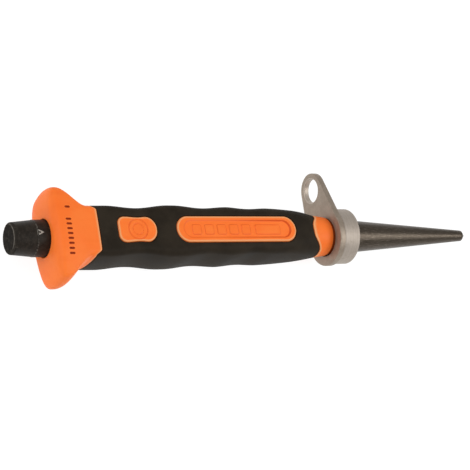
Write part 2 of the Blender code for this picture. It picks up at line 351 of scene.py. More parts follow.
def bows(size):
    """Room inside the corners and the radii of the bowed sides, less the corner radius."""
    half_y, half_z, corner, turn_y, turn_z = size
    turn_y, turn_z = math.radians(turn_y), math.radians(turn_z)
    room_y, room_z = half_y - corner, half_z - corner
    down_y, down_z = 1 - math.cos(turn_y), 1 - math.cos(turn_z)
    scale = math.sin(turn_y) * math.sin(turn_z) - down_y * down_z
    bow_y = (math.sin(turn_z) * room_z - down_z * room_y) / scale
    bow_z = (math.sin(turn_y) * room_y - down_y * room_z) / scale
    return room_y, room_z, bow_y, bow_z, turn_y, turn_z


def quarter(size):
    """The first quarter of a section: a side, a corner and a side."""
    corner = size[2]
    room_y, room_z, bow_y, bow_z, turn_y, turn_z = bows(size)
    middle = (bow_z * math.sin(turn_z), bow_y * math.sin(turn_y))
    arcs = (
        (0, turn_y, SIDE_STEPS, (room_y - bow_y, 0), bow_y + corner),
        (turn_y, math.pi / 2 - turn_z, CORNER_STEPS, middle, corner),
        (math.pi / 2 - turn_z, math.pi / 2, SIDE_STEPS, (0, room_z - bow_z), bow_z + corner),
    )
    ways, ys, zs = [], [], []
    for start, end, count, centre, radius in arcs:
        way = start + (end - start) * (np.arange(count) + 0.5) / count
        ways.append(way)
        ys.append(centre[0] + radius * np.cos(way))
        zs.append(centre[1] + radius * np.sin(way))
    return np.concatenate(ways), np.concatenate(ys), np.concatenate(zs)


def section_points(size):
    """Directions and points all round a section, from the +Y side towards +Z."""
    way, y, z = quarter(size)
    ways = np.concatenate([way, way[::-1], way, way[::-1]])
    ys = np.concatenate([y, -y[::-1], -y, y[::-1]])
    zs = np.concatenate([z, z[::-1], -z, -z[::-1]])
    return ways, ys, zs


def section(x, size):
    _, y, z = section_points(size)
    return np.stack([np.full(len(y), x), y, z], 1)


def round_size(radius):
    return radius, radius, radius, SIDE_TURN, BADGE_TURN


def between(stations, x):
    """The stations' sizes at x, on a smooth curve through them."""
    places = stations[:, 0]
    index = int(np.clip(np.searchsorted(places, x, side="right") - 1, 0, len(places) - 2))
    span = places[index + 1] - places[index]
    share = float(np.clip((x - places[index]) / span, 0, 1))
    before = stations[max(index - 1, 0)]
    here = stations[index]
    ahead = stations[index + 1]
    after = stations[min(index + 2, len(stations) - 1)]
    slope_here = (ahead - before) / (ahead[0] - before[0]) * span
    slope_ahead = (after - here) / (after[0] - here[0]) * span
    value = (
        (2 * share**3 - 3 * share**2 + 1) * here
        + (share**3 - 2 * share**2 + share) * slope_here
        + (3 * share**2 - 2 * share**3) * ahead
        + (share**3 - share**2) * slope_ahead
    )
    return value[1:]


def grip_size(x, inset=0.0):
    """The grip's section at x, with its finger grooves, drawn in by inset."""
    half_y, half_z, corner = between(GRIP_STATIONS, x)
    for start, end, depth in FINGER_GROOVES:
        share = (x / MM - start) / (end - start)
        if 0 < share < 1:
            half_y -= depth * MM * math.sin(math.pi * share) ** 2
    inset = min(inset, corner * 0.9)
    return half_y - inset, half_z - inset, corner - inset, SIDE_TURN, BADGE_TURN


def rear_edge(way):
    """Where the skin starts, for each direction round the grip."""
    off_badge = np.abs(90 - np.degrees(way))
    return SKIN_REAR_X - REAR_STEP_BACK * smoothstep(REAR_STEP_FROM, REAR_STEP_TO, off_badge)


def front_edge(way):
    """Where the skin ends, for each direction round the grip."""
    off_badge = 90 - np.degrees(way)
    fall = np.cos(np.radians(90 * np.clip(off_badge / FRONT_NOTCH_TO, 0, 1))) ** 2
    return SKIN_FRONT_X - FRONT_NOTCH_DEPTH * fall


def neck_end(way):
    """Where the core's neck ends, a gap behind the skin."""
    return rear_edge(way) - SEAM


def nose_start(way):
    """Where the core comes up to the surface again, a gap in front of the skin."""
    return front_edge(way) + SEAM


def waved_ring(place, size_at):
    """A ring whose place along the tool follows the direction, on the surface of size_at(x)."""
    ways, _, _ = section_points(round_size(BAR_RADIUS))
    xs = place(ways)
    ring = np.zeros((len(ways), 3))
    cache = {}
    for index, x in enumerate(xs):
        key = round(float(x), 8)
        if key not in cache:
            cache[key] = section_points(size_at(key))
        _, y, z = cache[key]
        ring[index] = (x, y[index], z[index])
    return ring


def grip_ring(place, inset=0.0):
    return waved_ring(place, lambda x: grip_size(x, inset))


def tube_ring(place, radius):
    return waved_ring(place, lambda x: round_size(radius))


def badge_height(x, y):
    """Height of the grip's badge face above the tool's axis."""
    size = grip_size(x)
    corner = size[2]
    _, room_z, bow_y, bow_z, turn_y, turn_z = bows(size)
    reach = bow_z + corner
    if abs(y) <= reach * math.sin(turn_z):
        return room_z - bow_z + math.sqrt(reach**2 - y**2)
    out = abs(y) - bow_z * math.sin(turn_z)
    return bow_y * math.sin(turn_y) + math.sqrt(max(corner**2 - out**2, 0.0))


def badge_heights(points):
    return np.array([badge_height(x, y) for x, y in points])


# ---------------------------------------------------------------------------------------------
# Materials


class Graph:
    """A short way to write a material's node tree."""

    def __init__(self, name):
        self.material = bpy.data.materials.new(name)
        self.material.use_nodes = True
        self.nodes = self.material.node_tree.nodes
        self.links = self.material.node_tree.links
        self.shader = self.nodes["Principled BSDF"]
        coordinates = self.nodes.new("ShaderNodeTexCoord")
        scale = self.nodes.new("ShaderNodeVectorMath")
        scale.operation = "SCALE"
        scale.inputs["Scale"].default_value = 1 / MM
        self.links.new(coordinates.outputs["Object"], scale.inputs[0])
        self.place = scale.outputs[0]
        split = self.nodes.new("ShaderNodeSeparateXYZ")
        self.links.new(self.place, split.inputs[0])
        self.x, self.y, self.z = split.outputs

    def put(self, socket, value):
        if isinstance(value, bpy.types.NodeSocket):
            self.links.new(value, socket)
        else:
            socket.default_value = value

    def math(self, operation, first, second=0.0):
        node = self.nodes.new("ShaderNodeMath")
        node.operation = operation
        for socket, value in zip(node.inputs, (first, second)):
            self.put(socket, value)
        return node.outputs[0]

    def add(self, first, second):
        return self.math("ADD", first, second)

    def less(self, first, second):
        return self.math("SUBTRACT", first, second)

    def times(self, first, second):
        return self.math("MULTIPLY", first, second)

    def over(self, first, second):
        return self.math("DIVIDE", first, second)

    def most(self, first, second):
        return self.math("MAXIMUM", first, second)

    def size(self, value):
        return self.math("ABSOLUTE", value)

    def hypot(self, first, second):
        return self.math("SQRT", self.add(self.times(first, first), self.times(second, second)))

    def radius(self):
        """Distance from the tool's axis, in millimetres."""
        return self.hypot(self.y, self.z)

    def vector(self, x, y, z):
        node = self.nodes.new("ShaderNodeCombineXYZ")
        for socket, value in zip(node.inputs, (x, y, z)):
            self.put(socket, value)
        return node.outputs[0]

    def attribute(self, name):
        node = self.nodes.new("ShaderNodeAttribute")
        node.attribute_name = name
        return node.outputs["Fac"]

    def noise(self, vector, scale, detail=3.0, roughness=0.55):
        node = self.nodes.new("ShaderNodeTexNoise")
        self.put(node.inputs["Vector"], vector)
        node.inputs["Scale"].default_value = scale
        node.inputs["Detail"].default_value = detail
        node.inputs["Roughness"].default_value = roughness
        return node.outputs["Fac"]

    def cells(self, vector, scale):
        node = self.nodes.new("ShaderNodeTexVoronoi")
        self.put(node.inputs["Vector"], vector)
        node.inputs["Scale"].default_value = scale
        return node.outputs["Distance"]

    def span(self, value, low, high, out_low=0.0, out_high=1.0):
        """Takes low to high over to out_low to out_high, smoothly. low may be the greater."""
        node = self.nodes.new("ShaderNodeMapRange")
        node.interpolation_type = "SMOOTHSTEP"
        for socket, item in zip(node.inputs, (value, low, high, out_low, out_high)):
            self.put(socket, item)
        return node.outputs[0]

    def blend(self, factor, first, second):
        node = self.nodes.new("ShaderNodeMix")
        node.data_type = "RGBA"
        self.put(node.inputs[0], factor)
        self.put(node.inputs[6], first)
        self.put(node.inputs[7], second)
        return node.outputs[2]

    def bump(self, height, distance, strength):
        node = self.nodes.new("ShaderNodeBump")
        node.inputs["Strength"].default_value = strength
        node.inputs["Distance"].default_value = distance
        self.put(node.inputs["Height"], height)
        return node.outputs[0]

    def finish(self, colour, roughness, metallic=0.0, normal=None, specular=0.5):
        self.put(self.shader.inputs["Base Color"], colour)
        self.put(self.shader.inputs["Roughness"], roughness)
        self.put(self.shader.inputs["Metallic"], metallic)
        self.put(self.shader.inputs["Specular IOR Level"], specular)
        if normal is not None:
            self.put(self.shader.inputs["Normal"], normal)
        return self.material


def tone(red, green, blue):
    """An sRGB colour, 0 to 255, as linear light."""
    linear = []
    for value in (red / 255, green / 255, blue / 255):
        linear.append(value / 12.92 if value <= 0.04045 else ((value + 0.055) / 1.055) ** 2.4)
    return (*linear, 1.0)


def orange_plastic():
    g = Graph("orange_plastic")
    cloud = g.noise(g.place, 0.09, 3.0)
    grain = g.noise(g.place, 5.0, 4.0, 0.6)
    flow = g.noise(g.vector(g.times(g.x, 0.25), g.y, g.z), 0.35, 2.0)
    colour = g.blend(g.span(cloud, 0.35, 0.65), tone(254, 120, 44), tone(255, 126, 50))
    colour = g.blend(g.times(g.span(flow, 0.45, 0.7), 0.3), colour, tone(247, 112, 38))
    # Painted light from the shade attribute: highlights towards 1, shade to -1, a gap's shadow to -2.
    mark = g.attribute("shade")
    colour = g.blend(g.span(mark, 0.0, 1.0), colour, tone(238, 168, 112))
    colour = g.blend(g.span(mark, 0.0, -1.0), colour, tone(222, 90, 30))
    colour = g.blend(g.span(mark, -1.0, -2.0), colour, tone(132, 56, 18))
    roughness = g.add(g.times(grain, 0.14), g.span(cloud, 0.3, 0.7, 0.39, 0.47))
    normal = g.bump(g.add(grain, g.times(flow, 0.6)), 0.012 * MM, 0.8)
    material = g.finish(colour, roughness, 0.0, normal, 0.18)
    g.shader.inputs["Subsurface Weight"].default_value = 0.08
    g.shader.inputs["Subsurface Radius"].default_value = (1.2 * MM, 0.5 * MM, 0.2 * MM)
    g.shader.inputs["Subsurface Scale"].default_value = 1.0
    return material


def black_rubber():
    g = Graph("black_rubber")
    cloud = g.noise(g.place, 0.12, 4.0, 0.6)
    grain = g.noise(g.place, 4.5, 3.0, 0.6)
    pits = g.cells(g.place, 3.2)
    colour = g.blend(g.span(cloud, 0.3, 0.7), tone(34, 28, 20), tone(46, 39, 30))
    colour = g.blend(g.times(g.span(grain, 0.5, 0.75), 0.35), colour, tone(60, 53, 43))
    roughness = g.add(g.times(grain, 0.16), g.span(cloud, 0.3, 0.7, 0.50, 0.58))
    height = g.add(grain, g.times(pits, 0.7))
    return g.finish(colour, roughness, 0.0, g.bump(height, 0.035 * MM, 0.75), 0.09)


def lathe_lines(g, pitch_x, pitch_r, wobble):
    """Noise that runs in rings round the tool's axis, on cylinders and on end faces alike."""
    shift = g.times(g.noise(g.place, 0.3, 2.0), wobble)
    along = g.add(g.over(g.x, pitch_x), shift)
    return g.noise(g.vector(along, g.over(g.radius(), pitch_r), 0.0), 1.0, 3.0, 0.7)


def black_steel():
    g = Graph("black_steel")
    radius = g.radius()
    mottle = g.noise(g.place, 0.8, 5.0, 0.65)
    speck = g.noise(g.place, 3.5, 3.0, 0.6)
    rings = lathe_lines(g, 0.12, 0.5, 0.4)
    around_y = g.times(g.over(g.y, radius), 17.0)
    around_z = g.times(g.over(g.z, radius), 17.0)
    streak = g.noise(g.vector(g.times(g.x, 0.5), around_y, around_z), 1.0, 5.0, 0.7)
    tapered = g.span(g.x, 125.0, 130.0)
    colour = g.blend(g.span(mottle, 0.35, 0.7), tone(30, 25, 19), tone(46, 40, 33))
    ground = g.blend(g.span(streak, 0.35, 0.68), tone(67, 59, 50), tone(89, 80, 70))
    ground = g.blend(g.times(g.span(streak, 0.56, 0.70), 0.4), ground, tone(138, 129, 118))
    ground = g.blend(g.times(g.span(rings, 0.55, 0.75), 0.25), ground, tone(104, 95, 85))
    colour = g.blend(tapered, colour, ground)
    # Worn metal: the struck edge, the step behind the cone, the point, and scuffs on the head.
    edge = g.span(g.add(radius, g.times(speck, 0.5)), 4.5, 5.0)
    struck = g.times(g.span(g.x, 1.3, 0.2), edge)
    from_step = g.size(g.less(g.x, 7.75))
    step = g.times(g.span(from_step, 0.32, 0.08), g.span(mottle, 0.42, 0.62))
    tip = g.span(g.add(g.x, g.times(speck, 0.5)), 182.0, 182.5)
    scuff = g.times(g.span(speck, 0.62, 0.72), g.span(g.x, 12.0, 4.0, 0.0, 0.5))
    wear_and_highlight = g.most(g.times(struck, 0.08), g.times(step, 0.55))
    wear_and_highlight = g.most(wear_and_highlight, g.most(g.times(tip, 0.6), scuff))
    # The struck face is dull and dark, with a painted highlight: a bright arc on its edge's +Z side.
    face = g.span(g.x, 1.2, 0.6)
    struck_edge_highlight = g.span(g.size(g.less(radius, 4.6)), 0.26, 0.10)
    struck_edge_highlight = g.times(g.times(struck_edge_highlight, face), g.span(g.over(g.z, radius), 0.25, 0.80))
    dull = g.blend(g.span(mottle, 0.45, 0.75), tone(24, 20, 16), tone(58, 53, 46))
    colour = g.blend(face, colour, dull)
    wear_and_highlight = g.most(wear_and_highlight, g.times(struck_edge_highlight, g.span(mottle, 0.35, 0.6, 0.25, 0.7)))
    # Real wear on edges, step, point and scuffs, together with the painted highlight of the arc.
    colour = g.blend(wear_and_highlight, colour, tone(138, 131, 122))
    roughness = g.add(g.times(mottle, 0.2), g.span(tapered, 0.0, 1.0, 0.34, 0.22))
    roughness = g.add(g.add(roughness, g.times(rings, 0.08)), g.times(face, 0.2))
    metallic = g.most(g.most(g.times(tapered, 0.65), g.times(wear_and_highlight, 0.9)), 0.1)
    height = g.add(g.times(rings, g.span(tapered, 0.0, 1.0, 0.3, 1.0)), g.times(mottle, 0.8))
    normal = g.bump(height, 0.022 * MM, 0.8)
    return g.finish(colour, roughness, metallic, normal, g.span(face, 0.0, 1.0, 0.2, 0.04))


def satin_steel():
    g = Graph("satin_steel")
    rings = lathe_lines(g, 0.16, 0.16, 0.2)
    blotch = g.noise(g.place, 0.7, 4.0, 0.6)
    colour = g.blend(g.span(rings, 0.3, 0.7), tone(164, 153, 142), tone(184, 173, 161))
    colour = g.blend(g.times(g.span(blotch, 0.5, 0.75), 0.45), colour, tone(154, 142, 130))
    roughness = g.add(g.add(g.times(rings, 0.16), g.times(blotch, 0.12)), 0.46)
    return g.finish(colour, roughness, 0.6, g.bump(rings, 0.012 * MM, 0.8))


def blasted_steel():
    g = Graph("blasted_steel")
    grain = g.noise(g.place, 6.0, 4.0, 0.65)
    blotch = g.noise(g.place, 0.5, 4.0, 0.6)
    colour = g.blend(g.span(blotch, 0.35, 0.68), tone(145, 131, 116), tone(157, 143, 128))
    colour = g.blend(g.times(g.span(grain, 0.5, 0.72), 0.4), colour, tone(180, 167, 152))
    # The wall of the lanyard hole is painted lighter, a painted highlight.
    off_y = g.less(g.y, EYE_REACH * math.cos(EYE_REST_ANGLE) / MM)
    off_z = g.less(g.z, EYE_REACH * math.sin(EYE_REST_ANGLE) / MM)
    hole_wall_highlight = g.span(g.hypot(off_y, off_z), 4.85, 4.5)
    colour = g.blend(hole_wall_highlight, colour, tone(184, 172, 159))
    roughness = g.add(g.add(g.times(grain, 0.14), g.times(blotch, 0.14)), 0.36)
    height = g.add(grain, g.times(blotch, 0.5))
    return g.finish(colour, roughness, 0.5, g.bump(height, 0.03 * MM, 0.8))


def ink():
    g = Graph("ink")
    patchy = g.noise(g.place, 4.0, 3.0)
    colour = g.blend(g.span(patchy, 0.35, 0.7), tone(118, 34, 4), tone(156, 52, 10))
    return g.finish(colour, g.span(patchy, 0.3, 0.7, 0.55, 0.75), 0.0, None, 0.12)


def etched():
    g = Graph("etched")
    patchy = g.noise(g.place, 3.0, 4.0, 0.65)
    colour = g.blend(g.span(patchy, 0.35, 0.6), tone(120, 114, 105), tone(190, 184, 174))
    return g.finish(colour, g.span(patchy, 0.3, 0.7, 0.4, 0.6), 0.3, g.bump(patchy, 0.02 * MM, 0.6))


ORANGE = orange_plastic()
RUBBER = black_rubber()
BLACK_STEEL = black_steel()
SATIN_STEEL = satin_steel()
BLASTED_STEEL = blasted_steel()
INK = ink()
ETCHED = etched()


def settle(obj, material, body, node, stands_for=True):
    obj.data.materials.clear()
    obj.data.materials.append(material)
    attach(obj, body)
    if stands_for:
        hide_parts(node)
    return obj


# ---------------------------------------------------------------------------------------------
# Pieces


def make_bar():
    profile = [(0.06 * MM, 0.3 * MM), (0.0, 1.2 * MM), (0.0, HEAD_FLAT_RADIUS)]
    for step in range(1, 9):
        turn = HEAD_ROUND_TURN * step / 8
        down = HEAD_ROUND_DEPTH * (1 - math.cos(turn))
        profile.append((down, HEAD_FLAT_RADIUS + HEAD_ROUND_WIDTH * math.sin(turn)))
    for share in np.linspace(0.15, 1.0, 14):
        x = mix(HEAD_EDGE_X, HEAD_CONE_END_X, share)
        profile.append((x, mix(HEAD_EDGE_RADIUS, HEAD_CONE_END_RADIUS, share)))
    profile += HEAD_STEP
    for x in np.linspace(SHANK_START_X, SHANK_END_X, 60):
        profile.append((x, BAR_RADIUS))
    base = LENGTH - POINT_HEIGHT
    for share in np.linspace(0.0, 1.0, 48)[:-1]:
        profile.append((mix(TAPER_START_X, base, share), mix(BAR_RADIUS, POINT_RADIUS, share)))
    profile.append((base - 0.04 * MM, POINT_RADIUS + 0.002 * MM))
    for share in (0.03, 0.2, 0.4, 0.6, 0.8, 0.9):
        profile.append((mix(base, LENGTH, share), mix(POINT_RADIUS, POINT_TIP_RADIUS, share)))
    profile += [(LENGTH - 0.08 * MM, 0.12 * MM), (LENGTH, 0.05 * MM)]
    return turned("punch", profile)


def plain(rings):
    """Layers of the core, each a ring and its shade, with no shade."""
    return [(ring, 0.0) for ring in rings]


def guard_layers():
    """The guard's dome out to its rim, and its front side back in to the neck."""
    rings = []
    middle = (GUARD_REAR_RADIUS, GUARD_REAR_RADIUS, GUARD_REAR_RADIUS, *GUARD_RIM[3:])
    for step in range(GUARD_STEPS + 1):
        out = math.sin(math.radians(90) * step / GUARD_STEPS)
        rise = (1 - out**GUARD_DOME_POWER) ** (1 / GUARD_DOME_POWER)
        size = [mix(low, high, out) for low, high in zip(middle, GUARD_RIM)]
        rings.append(section(mix(GUARD_RIM_X, GUARD_REAR_X, rise), size))
    neck = grip_size(GUARD_NECK_X)
    for step in range(FLARE_STEPS + 1):
        share = step / FLARE_STEPS
        flare = 0.5 * (1 + math.cos(math.pi * share))
        size = [mix(low, high, flare) for low, high in zip(neck, GUARD_RIM)]
        rings.append(section(mix(GUARD_FLARE_X, GUARD_NECK_X, share), size))
    return plain(rings)


def neck_layers():
    """The neck, up to its moulded edge at the skin, with a painted highlight where it rounds over."""
    layers = []
    # The last rings before the rounding, and its first one, carry a painted highlight.
    for share, mark in zip(np.linspace(0.15, 1.0, 6), (0.0, 0.0, 0.0, 0.0, 0.35, 0.9)):
        ring = grip_ring(lambda way: mix(GUARD_NECK_X, neck_end(way) - SEAM_ROUND, share))
        layers.append((ring, mark))
    for (inset, back), mark in zip(fillet(SEAM_ROUND, 5, 1), (0.6, 0.0, 0.0, 0.0, 0.0)):
        layers.append((grip_ring(lambda way: neck_end(way) - back, inset), mark))
    return layers


def tube_layers():
    """The tube under the skin."""
    rings = [tube_ring(neck_end, TUBE_RADIUS)]
    for x in np.linspace(SKIN_REAR_X + 2 * MM, TUBE_FRONT_X, 40):
        rings.append(section(x, round_size(TUBE_RADIUS)))
    rings.append(section(FRONT_BLEND_X, round_size(TUBE_FRONT_RADIUS)))
    rings.append(tube_ring(nose_start, TUBE_FRONT_RADIUS))
    return plain(rings)


def nose_layers():
    """The nose, from its edge at the skin to the end of the spigot that the plate turns on."""
    layers = []
    # The edge carries a painted highlight.
    for inset, ahead, mark in NOSE_EDGE:
        ring = grip_ring(lambda way: nose_start(way) + ahead * MM, inset * MM)
        layers.append((ring, mark))
    edge_length, even_x = NOSE_EDGE[-1][1] * MM, NOSE_PLACES[0] * MM
    rings = []
    for share in (0.2, 0.4, 0.6, 0.8):
        rings.append(grip_ring(lambda way: mix(nose_start(way) + edge_length, even_x, share)))
    for x in NOSE_PLACES:
        rings.append(section(x * MM, grip_size(x * MM)))
    layers += plain(rings)
    # The shoulder and spigot carry painted shade, darkest like a shadow in the gap before the plate.
    for x, radius, mark in NOSE_END:
        layers.append((section(x * MM, round_size(radius * MM)), mark))
    return layers


def bore_layers():
    """The bore, from the nose back to the guard."""
    rings = [section(CORE_FRONT_X, round_size(CORE_BORE_RADIUS))]
    for x in np.linspace(CORE_FRONT_X - 4 * MM, GUARD_REAR_X + 0.5 * MM, 12):
        rings.append(section(x, round_size(CORE_BORE_RADIUS)))
    for ahead, grow in ((0.15 * MM, 0.06 * MM), (0.02 * MM, 0.2 * MM)):
        rings.append(section(GUARD_REAR_X + ahead, round_size(CORE_BORE_RADIUS + grow)))
    return plain(rings)


def make_core():
    """The guard, neck, hidden tube and nose, bored right through."""
    layers = guard_layers() + neck_layers() + tube_layers() + nose_layers() + bore_layers()
    rings, marks = zip(*layers)
    obj = loft("grip_core_moulding", rings, closed_along=True)
    shade(obj, np.repeat(marks, len(rings[0])))
    return obj


def make_skin():
    """The soft skin, before its windows are cut."""
    rings = []
    for ahead, inset in fillet(SEAM_ROUND, 5):
        rings.append(grip_ring(lambda way: rear_edge(way) + ahead, inset))
    for share in (0.2, 0.4, 0.6, 0.8):
        rings.append(grip_ring(lambda way: mix(rear_edge(way) + SEAM_ROUND, SKIN_EVEN_X, share)))
    for x in np.linspace(SKIN_EVEN_X, FRONT_BLEND_X, 150):
        rings.append(section(x, grip_size(x)))

    def even_end(way):
        return front_edge(way) - FRONT_ROUND

    for share in (0.2, 0.4, 0.6, 0.8, 0.92, 1.0):
        rings.append(grip_ring(lambda way: mix(FRONT_BLEND_X, even_end(way), share)))
    for inset, back in fillet(FRONT_ROUND, 6, 1):
        rings.append(grip_ring(lambda way: front_edge(way) - back, inset))
    # Its inside, back to the rear edge.
    rings.append(tube_ring(front_edge, TUBE_FRONT_RADIUS + SKIN_FIT))
    rings.append(section(FRONT_BLEND_X, round_size(TUBE_FRONT_RADIUS + SKIN_FIT)))
    for x in np.linspace(TUBE_FRONT_X, SKIN_EVEN_X, 30):
        rings.append(section(x, round_size(TUBE_RADIUS + SKIN_FIT)))
    rings.append(tube_ring(rear_edge, TUBE_RADIUS + SKIN_FIT))
    return loft("grip_skin", rings, closed_along=True)


def outline(badge, grow, waist):
    """A badge's outline as seen from +Z, anticlockwise, grown by grow.

    Its long sides are drawn in by waist, in their middle.
    """
    rear, front, half, rear_corner, front_corner = badge
    corners = (
        (front - front_corner, half - front_corner, front_corner, 0),
        (rear + rear_corner, half - rear_corner, rear_corner, 90),
        (rear + rear_corner, rear_corner - half, rear_corner, 180),
        (front - front_corner, front_corner - half, front_corner, 270),
    )
    points = []
    for index, (x, y, radius, start) in enumerate(corners):
        reach = max(radius + grow, SMALLEST_RADIUS)
        for step in range(ARC_STEPS):
            turn = math.radians(start + 90 * (step + 0.5) / ARC_STEPS)
            points.append((x + reach * math.cos(turn), y + reach * math.sin(turn)))
        next_x, next_y, next_radius, _ = corners[(index + 1) % 4]
        turn = math.radians(start + 90)
        out = np.array((math.cos(turn), math.sin(turn)))
        begin = np.array((x, y)) + reach * out
        end = np.array((next_x, next_y)) + max(next_radius + grow, SMALLEST_RADIUS) * out
        count = int(round(math.dist((x, y), (next_x, next_y)) / OUTLINE_PITCH))
        for step in range(count):
            points.append(tuple(mix(begin, end, (step + 0.5) / count)))
    points = np.array(points)
    if waist:
        middle, reach = (rear + front) / 2 + 0.3 * MM, 0.62 * (front - rear) / 2
        share = np.clip(1 - ((points[:, 0] - middle) / reach) ** 2, 0, 1) ** 2
        share = share * np.clip(abs(points[:, 1]) / half, 0, 1)
        points[:, 1] -= np.sign(points[:, 1]) * waist * share
    return points


def window_cutter(badge, side, waist=0.0):
    """Cuts a badge's window with softly rounded lips.

    side is 1 for the +Z face and -1 for the other.
    """
    brim = badge_heights(outline(badge, SEAM + WINDOW_LIP, waist))
    levels = [(SEAM, np.full(len(brim), WINDOW_FLOOR_Z))]
    for grow, drop in fillet(WINDOW_LIP, 8):
        levels.append((SEAM + grow, brim + (WINDOW_PROUD - drop)))
    levels.append((SEAM + WINDOW_LIP * 1.02, brim + 2.0 * MM))
    rings = []
    for grow, heights in levels:
        ring = np.column_stack([outline(badge, grow, waist), heights * side])
        rings.append(ring if side > 0 else ring[::-1])
    return loft("window", rings)


def stadium_distance(x, y, rear, front, half):
    """Distance inside a long rounded panel's edge, positive inside."""
    along = np.clip(x, rear + half, front - half)
    return half - np.hypot(x - along, y)


def long_relief(x, y):
    """Height of the long badge above its rim: a sunk panel with a row of plain raised blocks."""
    inside = stadium_distance(x, y, *PANEL)
    depth = mix(*PANEL_DEPTHS, smoothstep(*PANEL_PLACES, x / MM)) * MM
    height = -depth * smoothstep(-0.45 * MM, 0.25 * MM, inside)
    for start, end in PANEL_BLOCKS:
        middle, reach = (start + end) / 2 * MM, (end - start) / 2 * MM
        out_x = np.maximum(abs(x - middle) - reach + BLOCK_CORNER, 0)
        out_y = np.maximum(abs(y - BLOCK_Y) - BLOCK_HALF, 0)
        out = np.hypot(out_x, out_y) - BLOCK_CORNER
        rise = BLOCK_HEIGHT * smoothstep(BLOCK_SLOPE, -BLOCK_SLOPE, out)
        height = np.maximum(height, rise - depth)
    return height


def short_relief(x, y):
    """Height of the short badge above its rim: two plain engraved rings."""
    out = np.hypot(x - RINGS_X, y)
    height = np.zeros(len(out))
    for radius, half, depth in RINGS:
        height -= depth * smoothstep(half, RING_FLOOR, abs(out - radius))
    return height


def make_badge(name, badge, side, relief, waist=0.0):
    """A badge that stands on the core's tube, with a rounded rim and its relief as real shape."""
    rear, front, half = badge[:3]
    base = outline(badge, 0.0, waist)
    # Every layer is drawn in from its outline towards this line along the badge's middle.
    along = np.clip(base[:, 0], rear + half, front - half)
    spine = np.column_stack([along, np.zeros(len(base))])
    rings = []
    for share in (0.98, 0.8, 0.6, 0.4, 0.2, 0.0):
        points = mix(base, spine, share)
        heights = np.sqrt(np.maximum(BADGE_FLOOR_RADIUS**2 - points[:, 1] ** 2, 0))
        rings.append(np.column_stack([points, heights]))
    rings.append(np.column_stack([base, badge_heights(base) - BADGE_SIDE_DEPTH]))
    marks = [np.zeros(len(base))] * len(rings)
    # The rounded rim carries a painted highlight.
    for inset, drop in fillet(BADGE_ROUND, 8):
        points = outline(badge, -inset, waist)
        rings.append(np.column_stack([points, badge_heights(points) - drop]))
        marks.append(np.full(len(points), RIM_HIGHLIGHT * (1 - drop / BADGE_ROUND)))
    edge = outline(badge, -BADGE_ROUND, waist)
    step_x, step_y = np.array((0.1 * MM, 0.0)), np.array((0.0, 0.1 * MM))
    for step in range(1, BADGE_LAYERS + 1):
        points = mix(edge, spine, BADGE_REACH * step / BADGE_LAYERS)
        rings.append(np.column_stack([points, badge_heights(points) + relief(*points.T)]))
        # Painted shade on the relief's slopes, darker the steeper, under a painted highlight fading
        # in from the rim.
        along = relief(*(points + step_x).T) - relief(*(points - step_x).T)
        across = relief(*(points + step_y).T) - relief(*(points - step_y).T)
        slope = np.hypot(along, across) / (0.2 * MM)
        rim_highlight = RIM_HIGHLIGHT * max(1 - step / RIM_HIGHLIGHT_LAYERS, 0.0)
        marks.append(rim_highlight - np.clip(slope / DARKEST_SLOPE, 0, 1))
    if side < 0:
        rings = [(ring * (1, 1, -1))[::-1] for ring in rings]
        marks = [mark[::-1] for mark in marks]
    obj = loft(name, rings, last_cap=split_cap(rings[-1]))
    shade(obj, np.concatenate(marks))
    return obj


def make_collar():
    rear, front = collar_low.x, collar_high.x
    bore = COLLAR_BORE_RADIUS
    rear_chamfer, front_chamfer = COLLAR_BORE_CHAMFER
    rear_round, front_round = COLLAR_ROUND
    profile = [(rear + rear_chamfer, bore), (rear, bore + rear_chamfer)]
    for drop, ahead in reversed(fillet(rear_round, 6)):
        profile.append((rear + ahead, COLLAR_RADIUS - drop))
    for x in np.linspace(rear + 0.7 * MM, front - 0.8 * MM, 12):
        profile.append((x, COLLAR_RADIUS))
    for drop, back in fillet(front_round, 6):
        profile.append((front - back, COLLAR_RADIUS - drop))
    profile += [(front, 8.4 * MM), (front, 7.4 * MM)]
    profile += [(front, bore + front_chamfer), (front - front_chamfer, bore)]
    return turned("collar", profile, closed_along=True)


def eye_ring(x, grow):
    """The plate's outline at x, grown by grow, anticlockwise seen from +X."""
    tangent = math.acos((EYE_PLATE_RADIUS - EYE_END_RADIUS) / (EYE_REACH + EYE_HANG))
    points = []
    for turn in np.linspace(tangent, 2 * math.pi - tangent, 120):
        radius = EYE_PLATE_RADIUS + grow
        points.append((x, radius * math.cos(turn) - EYE_HANG, radius * math.sin(turn)))
    for turn in np.linspace(-tangent, tangent, 70):
        radius = EYE_END_RADIUS + grow
        points.append((x, EYE_REACH + radius * math.cos(turn), radius * math.sin(turn)))
    return np.array(points)


def eye_cutter(centre_y, radius, rounds):
    """Cuts a round hole with softly rounded edges through the plate."""
    rear, front = eye_low.x, eye_high.x
    rear_round, front_round = rounds
    past = 1 * MM
    profile = [(rear - past, radius + rear_round + past)]
    for ahead, grow in fillet(rear_round, 6):
        profile.append((rear + ahead, radius + grow))
    for back, grow in reversed(fillet(front_round, 6)):
        profile.append((front - back, radius + grow))
    profile.append((front + past, radius + front_round + past))
    cutter = turned("eye_cutter", profile, 120)
    cutter.location.y = centre_y
    return cutter


def make_eye():
    rear_round, front_round = EYE_RIM_ROUND
    rings = [eye_ring(eye_low.x + ahead, -inset) for ahead, inset in fillet(rear_round, 5)]
    for back, inset in reversed(fillet(front_round, 5)):
        rings.append(eye_ring(eye_high.x - back, -inset))
    eye = loft("eye_plate", rings)
    bore = eye_cutter(-EYE_HANG, EYE_BORE_RADIUS, EYE_BORE_ROUND)
    hole = eye_cutter(EYE_REACH, EYE_HOLE_RADIUS, EYE_HOLE_ROUND)
    bpy.context.view_layer.update()
    cut(eye, [bore, hole])
    eye.data.transform(Matrix.Rotation(EYE_REST_ANGLE, 4, "X"))
    return eye


